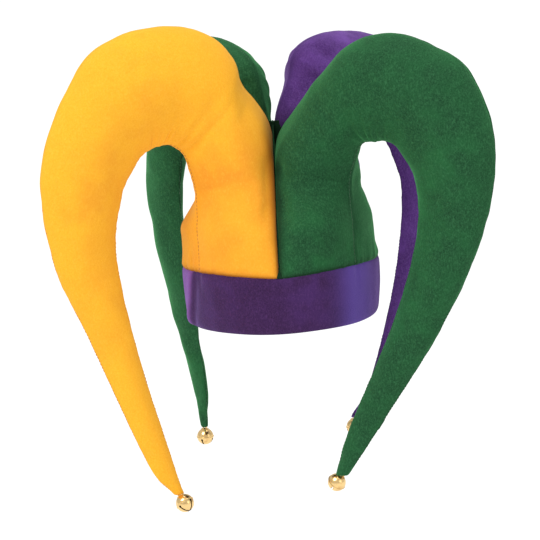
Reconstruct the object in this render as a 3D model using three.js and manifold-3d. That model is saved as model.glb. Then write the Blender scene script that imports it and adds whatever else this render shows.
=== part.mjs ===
// A plush jester hat: four stuffed felt horns sewn to a folded felt headband, with a jingle bell at each tip.
// Millimetres, +Z up, the wearer faces -Y. The origin is the centre of the head opening, level with the
// lower edge of the band. Each horn is the quarter of the crown that it grows from, stuffed as one with it:
// it rises from the band, arches over and hangs below the rim. A horn lies about one upright seam plane,
// turned away from the wearer's side by its heading. Two seams run in that plane: the outer seam over the
// back of the horn, and the inner seam under it, which reaches the band as the corner seam of the crown.
// Left and right are as seen from in front of the wearer.
import * as THREE from "three";
import { mergeVertices } from "three/addons/utils/BufferGeometryUtils.js";
import Module from "manifold-3d";

const wasm = await Module();
wasm.setup();

// Head opening and headband
const headWidth = 170;
const headLength = 200;
const headHeight = 126;
const headStraight = 36;
const bandHeight = 49;
const bandThickness = 3;
const bandFold = 1;
const bandTaper = 2;
const seamGap = 0.3;

// Horns. The largest one reaches hornReach out from the hat's axis, rises to hornRise above the rim and ends
// hornDrop below it. The panels of the crown puff out and dip at the creases between the horns. From
// partingFrom up to partingTo the crown parts into four horns: its panels draw in from the corner seams on,
// and by partingDepth at the creases.
const hornReach = 225;
const hornRise = 265;
const hornDrop = 141;
const panelPuff = 5;
const creaseDepth = 12;
const creaseSharpness = 3.5;
const partingFrom = 84;
const partingTo = 124;
const partingDepth = 34;
const partingSharpness = 0.8;
const seamSharpness = 0.62;
const hornThickness = 62;
const tipWidth = 8;
const tipThickness = 6.5;

// Jingle bells
const bellDiameter = 16;
const bellWall = 0.8;
const slotWidth = 1.7;
const slotReach = 58;
const loopInside = 2.4;
const loopWire = 1.3;
const loopRoot = 0.5;
const pelletDiameter = 4.6;
const bellGap = 0.3;

// Numbers of facets
const ringFacets = 64;
const domeFacets = 8;
const panelFacets = 8;
const wallFacets = 3;
const stepsPerRow = 3;
const bellFacets = 12;
const pelletFacets = 8;
const loopFacets = 6;
const weldDistance = 0.001;

const colours = { gold: 0xf7b62c, green: 0x1f6a37, purple: 0x52307e, brass: 0xe0bf7a };

// The outline of each horn in its seam plane, one row for each section from the crown to the last one
// before the tip. The section at the band's top and the tip itself are worked out from the sizes above.
// outerOut: the outer seam's place out from the hat's axis, as a share of the horn's reach.
// innerOut: the inner seam's place, as a share of the way from the crown's corner to that reach.
// outerUp, innerUp: shares of the way from the band's top up to the rise, or down to the drop if negative.
// thick: the section's size across the seam plane, as a share of the horn's thickness.
// crown: how much of the section is still a quarter of the crown.
const frontLeftOutline = [
  { outerOut: 0, outerUp: 0.21, innerOut: 0, innerUp: 0.21, thick: 1, crown: 1 },
  { outerOut: 0.04, outerUp: 0.47, innerOut: 0, innerUp: 0.33, thick: 1, crown: 1 },
  { outerOut: 0.17, outerUp: 0.72, innerOut: 0.03, innerUp: 0.45, thick: 0.97, crown: 0.15 },
  { outerOut: 0.21, outerUp: 0.86, innerOut: 0.07, innerUp: 0.5, thick: 0.96, crown: 0.03 },
  { outerOut: 0.31, outerUp: 0.96, innerOut: 0.14, innerUp: 0.53, thick: 1, crown: 0 },
  { outerOut: 0.47, outerUp: 1, innerOut: 0.21, innerUp: 0.53, thick: 0.98, crown: 0 },
  { outerOut: 0.67, outerUp: 0.97, innerOut: 0.3, innerUp: 0.51, thick: 0.94, crown: 0 },
  { outerOut: 0.83, outerUp: 0.85, innerOut: 0.37, innerUp: 0.47, thick: 0.87, crown: 0 },
  { outerOut: 0.99, outerUp: 0.52, innerOut: 0.48, innerUp: 0.35, thick: 0.69, crown: 0 },
  { outerOut: 0.98, outerUp: 0.14, innerOut: 0.54, innerUp: 0.12, thick: 0.48, crown: 0 },
  { outerOut: 0.855, outerUp: -0.24, innerOut: 0.46, innerUp: -0.27, thick: 0.35, crown: 0 },
  { outerOut: 0.66, outerUp: -0.83, innerOut: 0.26, innerUp: -0.85, thick: 0.19, crown: 0 },
];
const frontRightOutline = [
  { outerOut: 0, outerUp: 0.23, innerOut: -0.01, innerUp: 0.21, thick: 1, crown: 1 },
  { outerOut: 0.08, outerUp: 0.47, innerOut: -0.01, innerUp: 0.36, thick: 1, crown: 1 },
  { outerOut: 0.19, outerUp: 0.67, innerOut: 0.03, innerUp: 0.46, thick: 0.97, crown: 0.25 },
  { outerOut: 0.3, outerUp: 0.83, innerOut: 0.06, innerUp: 0.51, thick: 0.97, crown: 0.03 },
  { outerOut: 0.43, outerUp: 0.96, innerOut: 0.11, innerUp: 0.54, thick: 1, crown: 0 },
  { outerOut: 0.61, outerUp: 1, innerOut: 0.18, innerUp: 0.54, thick: 0.98, crown: 0 },
  { outerOut: 0.78, outerUp: 0.94, innerOut: 0.27, innerUp: 0.54, thick: 0.94, crown: 0 },
  { outerOut: 0.91, outerUp: 0.82, innerOut: 0.35, innerUp: 0.5, thick: 0.87, crown: 0 },
  { outerOut: 1, outerUp: 0.53, innerOut: 0.45, innerUp: 0.36, thick: 0.69, crown: 0 },
  { outerOut: 0.95, outerUp: 0.18, innerOut: 0.43, innerUp: 0.12, thick: 0.5, crown: 0 },
  { outerOut: 0.77, outerUp: -0.25, innerOut: 0.24, innerUp: -0.25, thick: 0.37, crown: 0 },
  { outerOut: 0.47, outerUp: -0.76, innerOut: -0.13, innerUp: -0.77, thick: 0.2, crown: 0 },
];
const backLeftOutline = [
  { outerOut: 0, outerUp: 0.22, innerOut: -0.02, innerUp: 0.22, thick: 1, crown: 1 },
  { outerOut: 0, outerUp: 0.5, innerOut: -0.02, innerUp: 0.35, thick: 1, crown: 1 },
  { outerOut: 0.05, outerUp: 0.75, innerOut: 0.01, innerUp: 0.48, thick: 0.98, crown: 0.25 },
  { outerOut: 0.1, outerUp: 0.89, innerOut: 0.06, innerUp: 0.53, thick: 0.97, crown: 0.03 },
  { outerOut: 0.24, outerUp: 0.97, innerOut: 0.13, innerUp: 0.56, thick: 0.94, crown: 0 },
  { outerOut: 0.43, outerUp: 1, innerOut: 0.2, innerUp: 0.57, thick: 0.94, crown: 0 },
  { outerOut: 0.66, outerUp: 0.96, innerOut: 0.3, innerUp: 0.55, thick: 0.85, crown: 0 },
  { outerOut: 0.83, outerUp: 0.85, innerOut: 0.38, innerUp: 0.5, thick: 0.76, crown: 0 },
  { outerOut: 0.95, outerUp: 0.55, innerOut: 0.5, innerUp: 0.36, thick: 0.58, crown: 0 },
  { outerOut: 1, outerUp: 0.18, innerOut: 0.54, innerUp: 0.16, thick: 0.44, crown: 0 },
  { outerOut: 0.9, outerUp: -0.28, innerOut: 0.44, innerUp: -0.29, thick: 0.32, crown: 0 },
  { outerOut: 0.74, outerUp: -0.76, innerOut: 0.33, innerUp: -0.77, thick: 0.19, crown: 0 },
];
const backRightOutline = [
  { outerOut: 0, outerUp: 0.23, innerOut: -0.01, innerUp: 0.23, thick: 1, crown: 1 },
  { outerOut: 0.04, outerUp: 0.51, innerOut: 0.03, innerUp: 0.36, thick: 1, crown: 1 },
  { outerOut: 0.16, outerUp: 0.78, innerOut: 0.04, innerUp: 0.48, thick: 0.98, crown: 0.25 },
  { outerOut: 0.21, outerUp: 0.91, innerOut: 0.06, innerUp: 0.54, thick: 0.97, crown: 0.03 },
  { outerOut: 0.31, outerUp: 0.98, innerOut: 0.11, innerUp: 0.57, thick: 0.98, crown: 0 },
  { outerOut: 0.44, outerUp: 1, innerOut: 0.18, innerUp: 0.58, thick: 0.94, crown: 0 },
  { outerOut: 0.63, outerUp: 0.96, innerOut: 0.28, innerUp: 0.55, thick: 0.85, crown: 0 },
  { outerOut: 0.79, outerUp: 0.84, innerOut: 0.37, innerUp: 0.51, thick: 0.76, crown: 0 },
  { outerOut: 0.97, outerUp: 0.55, innerOut: 0.52, innerUp: 0.38, thick: 0.58, crown: 0 },
  { outerOut: 1, outerUp: 0.21, innerOut: 0.62, innerUp: 0.17, thick: 0.44, crown: 0 },
  { outerOut: 0.87, outerUp: -0.28, innerOut: 0.48, innerUp: -0.28, thick: 0.32, crown: 0 },
  { outerOut: 0.6, outerUp: -0.79, innerOut: 0.19, innerUp: -0.81, thick: 0.19, crown: 0 },
];

// heading and corner: degrees from the wearer's side to the seam plane and to the crown's corner seam.
// reach, rise and drop: shares of the largest horn's. tipOut: the tip's place out, as a share of its reach.
// sidePuff: how far the crown's panel at the wearer's side puffs out, where the other has panelPuff.
// sideParting: how far that panel draws in as the crown parts, as a share of partingDepth.
// tilt and lean: how far the top of the bell leans to the back and to the wearer's side, in degrees.
const horns = [
  {
    name: "front_left", colour: colours.gold, side: -1, face: -1,
    heading: 25, corner: 37, reach: 1, rise: 1, drop: 1, tipOut: 0.54, sidePuff: 2,
    sideParting: 1, tilt: 35, lean: 30,
    outline: frontLeftOutline,
  },
  {
    name: "front_right", colour: colours.green, side: 1, face: -1,
    heading: 25, corner: 41, reach: 0.96, rise: 0.94, drop: 0.975, tipOut: 0.295, sidePuff: -2,
    sideParting: 0.5, tilt: -30, lean: 30,
    outline: frontRightOutline,
  },
  {
    name: "back_left", colour: colours.green, side: -1, face: 1,
    heading: 58, corner: 48, reach: 0.98, rise: 0.94, drop: 0.915, tipOut: 0.656, sidePuff: 5,
    sideParting: 1, tilt: 0, lean: 0,
    outline: backLeftOutline,
  },
  {
    name: "back_right", colour: colours.purple, side: 1, face: 1,
    heading: 45, corner: 48, reach: 1.06, rise: 0.93, drop: 0.833, tipOut: 0.408, sidePuff: 10,
    sideParting: 1, tilt: 0, lean: 0,
    outline: backRightOutline,
  },
];

const lerp = THREE.MathUtils.lerp;
const radians = THREE.MathUtils.degToRad;
const bandTop = bandHeight + seamGap;
const crownWidth = headWidth + 2 * bandThickness;
const crownLength = headLength + 2 * bandThickness;

function solidOf(geometry) {
  const bare = geometry.index ? geometry.toNonIndexed() : geometry.clone();
  bare.deleteAttribute("normal");
  bare.deleteAttribute("uv");
  const merged = mergeVertices(bare, weldDistance);
  const vertProperties = merged.attributes.position.array;
  const triVerts = new Uint32Array(merged.index.array);
  const solid = new wasm.Manifold(new wasm.Mesh({ numProp: 3, vertProperties, triVerts }));
  if (solid.volume() > 0) return solid;
  triVerts.reverse();
  return new wasm.Manifold(new wasm.Mesh({ numProp: 3, vertProperties, triVerts }));
}

function meshOf(name, solid, colour, roughness, metalness) {
  const { vertProperties, triVerts } = solid.getMesh();
  const geometry = new THREE.BufferGeometry();
  geometry.setAttribute("position", new THREE.BufferAttribute(vertProperties, 3));
  geometry.setIndex(new THREE.BufferAttribute(triVerts, 1));
  const faceted = geometry.toNonIndexed();
  faceted.computeVertexNormals();
  const material = new THREE.MeshStandardMaterial({ color: colour, roughness, metalness });
  const mesh = new THREE.Mesh(faceted, material);
  mesh.name = name;
  return mesh;
}

// Skins closed loops of equally many points. A round skin joins its last loop to its first, and any other
// is closed by a fan at each end.
function skin(loops, round) {
  const points = loops.flat();
  const size = loops[0].length;
  const faces = [];
  const joins = round ? loops.length : loops.length - 1;
  for (let row = 0; row < joins; row++) {
    const next = (row + 1) % loops.length;
    for (let i = 0; i < size; i++) {
      const j = (i + 1) % size;
      const [a, b] = [row * size + i, row * size + j];
      const [c, d] = [next * size + i, next * size + j];
      faces.push(a, b, d, a, d, c);
    }
  }
  if (!round) {
    const last = (loops.length - 1) * size;
    for (let i = 1; i < size - 1; i++) {
      faces.push(0, i + 1, i, last, last + i, last + i + 1);
    }
  }
  const geometry = new THREE.BufferGeometry().setFromPoints(points);
  geometry.setIndex(faces);
  return solidOf(geometry);
}

function ellipseLoop(halfWidth, halfLength, height) {
  return Array.from({ length: ringFacets }, (_, i) => {
    const angle = (2 * Math.PI * i) / ringFacets;
    return new THREE.Vector3(halfWidth * Math.cos(angle), halfLength * Math.sin(angle), height);
  });
}

// The band is felt folded double: a ring with its fold, the rounded edge, at the rim, where it draws in.
function headband() {
  const profile = [
    [-bandTaper, bandFold], [bandFold - bandTaper, 0], [bandThickness - bandFold - bandTaper, 0],
    [bandThickness - bandTaper, bandFold], [bandThickness, bandHeight], [0, bandHeight],
  ];
  const loops = profile.map(([out, up]) => ellipseLoop(headWidth / 2 + out, headLength / 2 + out, up));
  return skin(loops, true);
}

// The room that the head takes: straight at the band, domed inside the crown.
function headForm() {
  const loops = [ellipseLoop(headWidth / 2, headLength / 2, -bandHeight)];
  for (let i = 0; i < domeFacets; i++) {
    const angle = (Math.PI / 2) * (i / domeFacets);
    const size = Math.cos(angle);
    const height = lerp(headStraight, headHeight, Math.sin(angle));
    loops.push(ellipseLoop((size * headWidth) / 2, (size * headLength) / 2, height));
  }
  const top = Array.from({ length: ringFacets }, () => new THREE.Vector3(0, 0, headHeight));
  return skin([...loops, top], false);
}

function crownEdge(angle) {
  return new THREE.Vector2((crownWidth / 2) * Math.cos(angle), (crownLength / 2) * Math.sin(angle));
}

// The seam plane of a horn, in the quarter where side and face are both positive, and the horn's ends in it.
function seamPlane(horn) {
  const along = new THREE.Vector2(Math.cos(radians(horn.heading)), Math.sin(radians(horn.heading)));
  const across = new THREE.Vector2(-along.y, along.x);
  const corner = crownEdge(radians(horn.corner));
  const reach = horn.reach * hornReach;
  return {
    along, across, cornerOut: corner.dot(along), offset: corner.dot(across),
    reach, rise: horn.rise * hornRise, drop: horn.drop * hornDrop, tipOut: horn.tipOut * reach,
  };
}

// The ways of the outer seam, the inner seam and the section's form through the rows, from band to tip.
function hornTracks(horn, plane) {
  const up = (share) => bandTop + share * (share < 0 ? bandTop + plane.drop : plane.rise - bandTop);
  const inward = (share) => lerp(plane.cornerOut, plane.reach, share);
  const base = { outer: [0, bandTop], inner: [plane.cornerOut, bandTop], form: [hornThickness, 1] };
  const sections = horn.outline.map((row) => ({
    outer: [row.outerOut * plane.reach, up(row.outerUp)],
    inner: [inward(row.innerOut), up(row.innerUp)],
    form: [row.thick * hornThickness, row.crown],
  }));
  const tip = {
    outer: [plane.tipOut + tipWidth / 2, -plane.drop],
    inner: [plane.tipOut - tipWidth / 2, -plane.drop],
    form: [tipThickness, 0],
  };
  const track = (name) => {
    const points = [base, ...sections, tip].map((section) => new THREE.Vector3(...section[name], 0));
    return new THREE.CatmullRomCurve3(points, false, "catmullrom");
  };
  return { outer: track("outer"), inner: track("inner"), form: track("form") };
}

// A point of a stuffed tube's section: two panels that bow apart between the inner and the outer seam.
function tubePoint(outer, inner, thickness, plane, share, hand) {
  const across = (1 - Math.cos(Math.PI * share)) / 2;
  const bow = (4 * across * (1 - across)) ** seamSharpness;
  const place = inner.clone().lerp(outer, across);
  const plan = plane.along.clone().multiplyScalar(place.x);
  plan.addScaledVector(plane.across, plane.offset + (hand * bow * thickness) / 2);
  return new THREE.Vector3(plan.x, plan.y, place.y);
}

// A point of a quarter of the crown: a puffed panel from the corner seam to the crease beside the next
// horn, and then the flat wall of that crease back to the hat's axis.
function crownPoint(horn, outer, inner, plane, share, hand) {
  const panelShare = Math.min(1, (share * (panelFacets + wallFacets)) / panelFacets);
  const wallShare = Math.max(0, (share * (panelFacets + wallFacets) - panelFacets) / wallFacets);
  const edge = crownEdge(lerp(radians(horn.corner), hand > 0 ? Math.PI / 2 : 0, panelShare));
  const rising = THREE.MathUtils.clamp((inner.y - bandTop) / bandHeight, 0, 1);
  const parting = THREE.MathUtils.smoothstep(inner.y, partingFrom, partingTo);
  const middlePuff = hand > 0 ? panelPuff : horn.sidePuff;
  const puff = middlePuff * Math.sin(Math.PI * panelShare) - creaseDepth * panelShare ** creaseSharpness;
  const parted = partingDepth * (hand > 0 ? 1 : horn.sideParting) * panelShare ** partingSharpness;
  edge.multiplyScalar(inner.x / plane.cornerOut + (rising * puff - parting * parted) / edge.length());
  edge.multiplyScalar(1 - wallShare);
  const height = lerp(outer.y, inner.y, THREE.MathUtils.clamp(edge.dot(plane.along) / inner.x, 0, 1));
  return new THREE.Vector3(edge.x, edge.y, height);
}

function hornSection(horn, plane, tracks, t) {
  const [outer, inner, form] = [tracks.outer.getPoint(t), tracks.inner.getPoint(t), tracks.form.getPoint(t)];
  const crown = THREE.MathUtils.clamp(form.y, 0, 1);
  const facets = panelFacets + wallFacets;
  const point = (step, hand) => {
    const tube = tubePoint(outer, inner, form.x, plane, step / facets, hand);
    const quarter = crownPoint(horn, outer, inner, plane, step / facets, hand);
    const place = tube.lerp(quarter, crown);
    place.x = Math.max(place.x, seamGap / 2) * horn.side;
    place.y = Math.max(place.y, seamGap / 2) * horn.face;
    return place;
  };
  const loop = [];
  for (let step = 0; step <= facets; step++) loop.push(point(step, 1));
  for (let step = facets - 1; step > 0; step--) loop.push(point(step, -1));
  return loop;
}

function hornBody(horn, plane) {
  const tracks = hornTracks(horn, plane);
  const steps = (horn.outline.length + 1) * stepsPerRow;
  const loops = Array.from({ length: steps + 1 }, (_, i) => hornSection(horn, plane, tracks, i / steps));
  return skin(loops, false);
}

// A bell stands on its loop's axis, +Z, with its centre at its own origin and its crossed slots below.
function bellShell() {
  const radius = bellDiameter / 2;
  const ball = (r) => solidOf(new THREE.SphereGeometry(r, bellFacets, bellFacets / 2).rotateX(Math.PI / 2));
  const depth = radius * (1 - Math.cos(radians(slotReach)));
  const length = 2 * radius * Math.sin(radians(slotReach));
  const slot = (x, y) => solidOf(new THREE.BoxGeometry(x, y, 2 * depth).translate(0, 0, -radius));
  const loop = new THREE.TorusGeometry((loopInside + loopWire) / 2, loopWire / 2, loopFacets, 2 * loopFacets);
  loop.rotateX(Math.PI / 2).translate(0, 0, loopHeight());
  return ball(radius)
    .subtract(ball(radius - bellWall))
    .subtract(slot(length, slotWidth))
    .subtract(slot(slotWidth, length))
    .add(solidOf(loop));
}

function loopHeight() {
  return bellDiameter / 2 + loopInside / 2 + loopWire / 2 - loopRoot;
}

// What a horn's tip leaves free for its bell: the ball, and a pocket for the loop that is sewn into it.
function bellRoom() {
  const ball = new THREE.SphereGeometry(bellDiameter / 2 + bellGap, bellFacets, bellFacets / 2);
  const wide = loopInside + 2 * loopWire + 2 * bellGap;
  const pocket = new THREE.BoxGeometry(wide, loopWire + 2 * bellGap, wide).translate(0, 0, loopHeight());
  return solidOf(ball.rotateX(Math.PI / 2)).add(solidOf(pocket));
}

// The bell's loop sits in the end of the tip, and the bell leans by its tilt and its lean.
function bellPlace(horn, plane) {
  const spread = new THREE.Vector3(plane.along.x * horn.side, plane.along.y * horn.face, 0);
  const [tilt, lean] = [radians(horn.tilt), radians(horn.lean)];
  const axis = new THREE.Vector3(0, -horn.face * Math.sin(tilt), Math.cos(tilt));
  axis.multiplyScalar(Math.cos(lean)).setX(horn.side * Math.sin(lean));
  const wide = spread.clone().addScaledVector(axis, -spread.dot(axis)).normalize();
  const turn = new THREE.Matrix4().makeBasis(wide, axis.clone().cross(wide), axis);
  const plan = plane.along.clone().multiplyScalar(plane.tipOut).addScaledVector(plane.across, plane.offset);
  const tip = new THREE.Vector3(plan.x * horn.side, plan.y * horn.face, -plane.drop);
  return turn.setPosition(tip.addScaledVector(axis, -loopHeight()));
}

function pelletPlace(bell) {
  const room = bellDiameter / 2 - bellWall - pelletDiameter / 2 - bellGap;
  const centre = new THREE.Vector3().setFromMatrixPosition(bell);
  return centre.add(new THREE.Vector3(0, 0, -room * Math.cos(Math.PI / bellFacets)));
}

const hat = new THREE.Group();
const head = headForm();
hat.add(meshOf("headband", headband(), colours.purple, 0.95, 0));
for (const horn of horns) {
  const plane = seamPlane(horn);
  const place = bellPlace(horn, plane);
  const room = bellRoom().transform(place.elements);
  const body = hornBody(horn, plane).subtract(head).subtract(room);
  hat.add(meshOf(horn.name + "_horn", body, horn.colour, 0.95, 0));

  const bell = meshOf(horn.name + "_bell", bellShell(), colours.brass, 0.25, 1);
  bell.applyMatrix4(place);
  hat.add(bell);

  const ball = solidOf(new THREE.SphereGeometry(pelletDiameter / 2, pelletFacets, pelletFacets / 2));
  const pellet = meshOf(horn.name + "_bell_pellet", ball, colours.brass, 0.4, 1);
  pellet.position.copy(pelletPlace(place));
  hat.add(pellet);
}

export default hat;
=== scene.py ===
import math
import bmesh
import bpy
from mathutils import Matrix, Vector, noise


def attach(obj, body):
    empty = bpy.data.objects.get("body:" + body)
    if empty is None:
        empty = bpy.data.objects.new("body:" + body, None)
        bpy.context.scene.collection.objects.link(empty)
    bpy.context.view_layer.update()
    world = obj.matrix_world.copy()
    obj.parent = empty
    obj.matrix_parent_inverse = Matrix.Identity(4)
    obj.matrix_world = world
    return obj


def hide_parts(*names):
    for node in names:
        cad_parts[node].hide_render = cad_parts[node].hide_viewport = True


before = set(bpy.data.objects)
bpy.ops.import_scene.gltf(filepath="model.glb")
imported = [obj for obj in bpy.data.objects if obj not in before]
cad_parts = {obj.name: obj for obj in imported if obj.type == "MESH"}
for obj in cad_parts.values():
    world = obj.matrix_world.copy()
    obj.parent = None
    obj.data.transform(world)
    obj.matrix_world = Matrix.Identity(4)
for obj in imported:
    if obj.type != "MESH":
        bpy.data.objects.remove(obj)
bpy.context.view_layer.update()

# A plush jester hat: four stuffed felt horns sewn to a folded felt headband, with a jingle bell at each tip.
# Metres, +Z up, the wearer faces -Y. Left and right are as seen from in front of the wearer.
scene = bpy.context.scene

# The picture is taken from straight in front and a little above, through a long lens, with the hat
# leaning slightly in the frame.
camera_azimuth = math.radians(1.2)
camera_elevation = math.radians(9.3)
camera_roll = math.radians(3.4)
camera_distance = 1.75
camera_aim = Vector((-0.0099, 0, 0.0405))

away = Vector((
    math.sin(camera_azimuth) * math.cos(camera_elevation),
    -math.cos(camera_azimuth) * math.cos(camera_elevation),
    math.sin(camera_elevation),
))
level = Vector((math.cos(camera_azimuth), math.sin(camera_azimuth), 0))
upright = away.cross(level)
camera_right = level * math.cos(camera_roll) - upright * math.sin(camera_roll)
camera_up = upright * math.cos(camera_roll) + level * math.sin(camera_roll)
camera = bpy.data.objects.new("camera", bpy.data.cameras.new("camera"))
camera.data.lens = 130.3
camera.data.sensor_width = 36
camera.data.clip_end = 200
camera_turn = Matrix((camera_right, camera_up, away)).transposed().to_4x4()
camera.matrix_world = Matrix.Translation(camera_aim + away * camera_distance) @ camera_turn
scene.collection.objects.link(camera)
scene.camera = camera

# A white studio: a pale floor well below the hat, which hangs as a head would hold it, an even white
# room, a broad soft light from up on the left, and weaker lamps on the right and overhead.
floor_height = -0.55
floor_radius = 60
floor_sides = 96


def place_node(tree, kind, inputs=None, **settings):
    """Adds a shader node. Each input is a number, a colour or another node's socket."""
    made = tree.nodes.new("ShaderNode" + kind)
    for name, value in settings.items():
        setattr(made, name, value)
    for name, value in (inputs or {}).items():
        if isinstance(value, bpy.types.NodeSocket):
            tree.links.new(value, made.inputs[name])
        else:
            made.inputs[name].default_value = value
    return made


def bare_material(name):
    """A new material with only its Principled shader and output, and the shader."""
    material = bpy.data.materials.new(name)
    material.use_nodes = True
    return material, material.node_tree, material.node_tree.nodes["Principled BSDF"]


def add_object(name, mesh, *materials):
    made = bpy.data.objects.new(name, mesh)
    scene.collection.objects.link(made)
    for material in materials:
        mesh.materials.append(material)
    return made


floor_paint, tree, shader = bare_material("studio floor")
paint_cloud = place_node(tree, "TexNoise", {"Scale": 3.0, "Detail": 2.0})
paint_tone = place_node(tree, "Mix", {
    0: paint_cloud.outputs["Fac"], 6: (0.93, 0.93, 0.93, 1), 7: (0.95, 0.95, 0.95, 1),
}, data_type="RGBA")
tree.links.new(paint_tone.outputs[2], shader.inputs["Base Color"])
shader.inputs["Roughness"].default_value = 0.9
shader.inputs["Specular IOR Level"].default_value = 0.1
floor_mesh = bpy.data.meshes.new("studio_floor")
floor_rim = [
    (floor_radius * math.cos(math.tau * i / floor_sides), floor_radius * math.sin(math.tau * i / floor_sides),
     floor_height)
    for i in range(floor_sides)
]
floor_mesh.from_pydata(floor_rim, [], [list(range(floor_sides))])
add_object("studio_floor", floor_mesh, floor_paint)

scene.world = bpy.data.worlds.new("white room")
scene.world.use_nodes = True
room_light = scene.world.node_tree.nodes["Background"]
room_light.inputs["Color"].default_value = (1, 1, 1, 1)
room_light.inputs["Strength"].default_value = 0.72
scene.view_settings.view_transform = "Standard"


def soft_lamp(name, place, aim, size, energy):
    lamp = bpy.data.lights.new(name, "AREA")
    lamp.shape = "DISK"
    lamp.size = size
    lamp.energy = energy
    made = bpy.data.objects.new(name, lamp)
    made.location = place
    made.rotation_euler = (Vector(aim) - Vector(place)).to_track_quat("-Z", "Y").to_euler()
    scene.collection.objects.link(made)


soft_lamp("right_lamp", (1.6, -1.4, 0.6), (0, 0, 0.05), 1.2, 4)
soft_lamp("top_lamp", (0.2, 0.4, 1.9), (0, 0, 0.1), 1.2, 6)
window = bpy.data.lights.new("left_window", "SUN")
window.energy = 1.9
window.angle = math.radians(28)
window_place = bpy.data.objects.new("left_window", window)
window_place.rotation_euler = Vector((0.55, 0.75, -1.15)).to_track_quat("-Z", "Y").to_euler()
scene.collection.objects.link(window_place)

# The horns. Each is cut from soft brushed felt, sewn along an outer and an inner seam, stuffed with loose
# fibre, and grows out of its own quarter of the crown. It arches over and hangs below the rim, and the
# stuffing puckers the felt where it bends. The crown is left hollow for the head.
head_width = 0.170
head_length = 0.200
head_height = 0.126
head_straight = 0.036
band_height = 0.049
band_thickness = 0.003
seam_gap = 0.0003
horn_reach = 0.225
horn_rise = 0.265
horn_drop = 0.141
horn_thickness = 0.062
tip_thickness = 0.0065
panel_puff = 0.005
crease_depth = 0.012
crease_sharpness = 3.5
parting_from = 0.084
parting_to = 0.124
parting_depth = 0.034
parting_sharpness = 0.8
seam_sharpness = 0.62
band_top = band_height + seam_gap
crown_width = head_width + 2 * band_thickness
crown_length = head_length + 2 * band_thickness

# One row for each section from the crown to the last one before the tip: the outer seam's place out and
# up, the inner seam's place out and up, the thickness, and how much of the section is still crown, all
# of them shares of the horn's own sizes.
front_left_rows = [
    (0, 0.21, 0, 0.21, 1, 1), (0.04, 0.47, 0, 0.33, 1, 1), (0.17, 0.72, 0.03, 0.45, 0.97, 0.15),
    (0.21, 0.86, 0.07, 0.5, 0.96, 0.03), (0.31, 0.96, 0.14, 0.53, 1, 0), (0.47, 1, 0.21, 0.53, 0.98, 0),
    (0.67, 0.97, 0.3, 0.51, 0.94, 0), (0.83, 0.85, 0.37, 0.47, 0.87, 0), (0.99, 0.52, 0.48, 0.35, 0.69, 0),
    (0.98, 0.14, 0.54, 0.12, 0.48, 0), (0.855, -0.24, 0.46, -0.27, 0.35, 0),
    (0.66, -0.83, 0.26, -0.85, 0.19, 0),
]
front_right_rows = [
    (0, 0.23, -0.01, 0.21, 1, 1), (0.08, 0.47, -0.01, 0.36, 1, 1), (0.19, 0.67, 0.03, 0.46, 0.97, 0.25),
    (0.3, 0.83, 0.06, 0.51, 0.97, 0.03), (0.43, 0.96, 0.11, 0.54, 1, 0), (0.61, 1, 0.18, 0.54, 0.98, 0),
    (0.78, 0.94, 0.27, 0.54, 0.94, 0), (0.92, 0.83, 0.35, 0.5, 0.87, 0), (1.01, 0.53, 0.45, 0.36, 0.69, 0),
    (0.955, 0.18, 0.43, 0.12, 0.5, 0), (0.77, -0.25, 0.24, -0.25, 0.37, 0),
    (0.47, -0.76, -0.12, -0.77, 0.21, 0),
]
back_left_rows = [
    (0, 0.22, -0.02, 0.22, 1, 1), (0, 0.5, -0.02, 0.35, 1, 1), (0.02, 0.75, 0.01, 0.48, 0.98, 0.25),
    (0.07, 0.89, 0.06, 0.53, 0.97, 0.03), (0.22, 0.97, 0.13, 0.56, 0.94, 0), (0.43, 1, 0.2, 0.57, 0.94, 0),
    (0.66, 0.96, 0.3, 0.55, 0.85, 0), (0.83, 0.85, 0.38, 0.5, 0.76, 0), (0.95, 0.55, 0.5, 0.36, 0.58, 0),
    (1, 0.18, 0.54, 0.16, 0.44, 0), (0.9, -0.28, 0.44, -0.29, 0.32, 0), (0.74, -0.76, 0.33, -0.77, 0.19, 0),
]
back_right_rows = [
    (0, 0.23, -0.01, 0.23, 1, 1), (0.04, 0.51, 0.03, 0.36, 1, 1), (0.16, 0.78, 0.04, 0.48, 0.98, 0.25),
    (0.19, 0.92, 0.06, 0.54, 0.97, 0.03), (0.29, 0.985, 0.11, 0.57, 0.98, 0), (0.44, 1, 0.18, 0.58, 0.94, 0),
    (0.63, 0.96, 0.28, 0.55, 0.85, 0), (0.79, 0.84, 0.37, 0.51, 0.76, 0), (0.97, 0.55, 0.5, 0.38, 0.58, 0),
    (1, 0.21, 0.58, 0.17, 0.44, 0), (0.87, -0.28, 0.46, -0.28, 0.32, 0), (0.6, -0.79, 0.19, -0.81, 0.19, 0),
]

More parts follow.
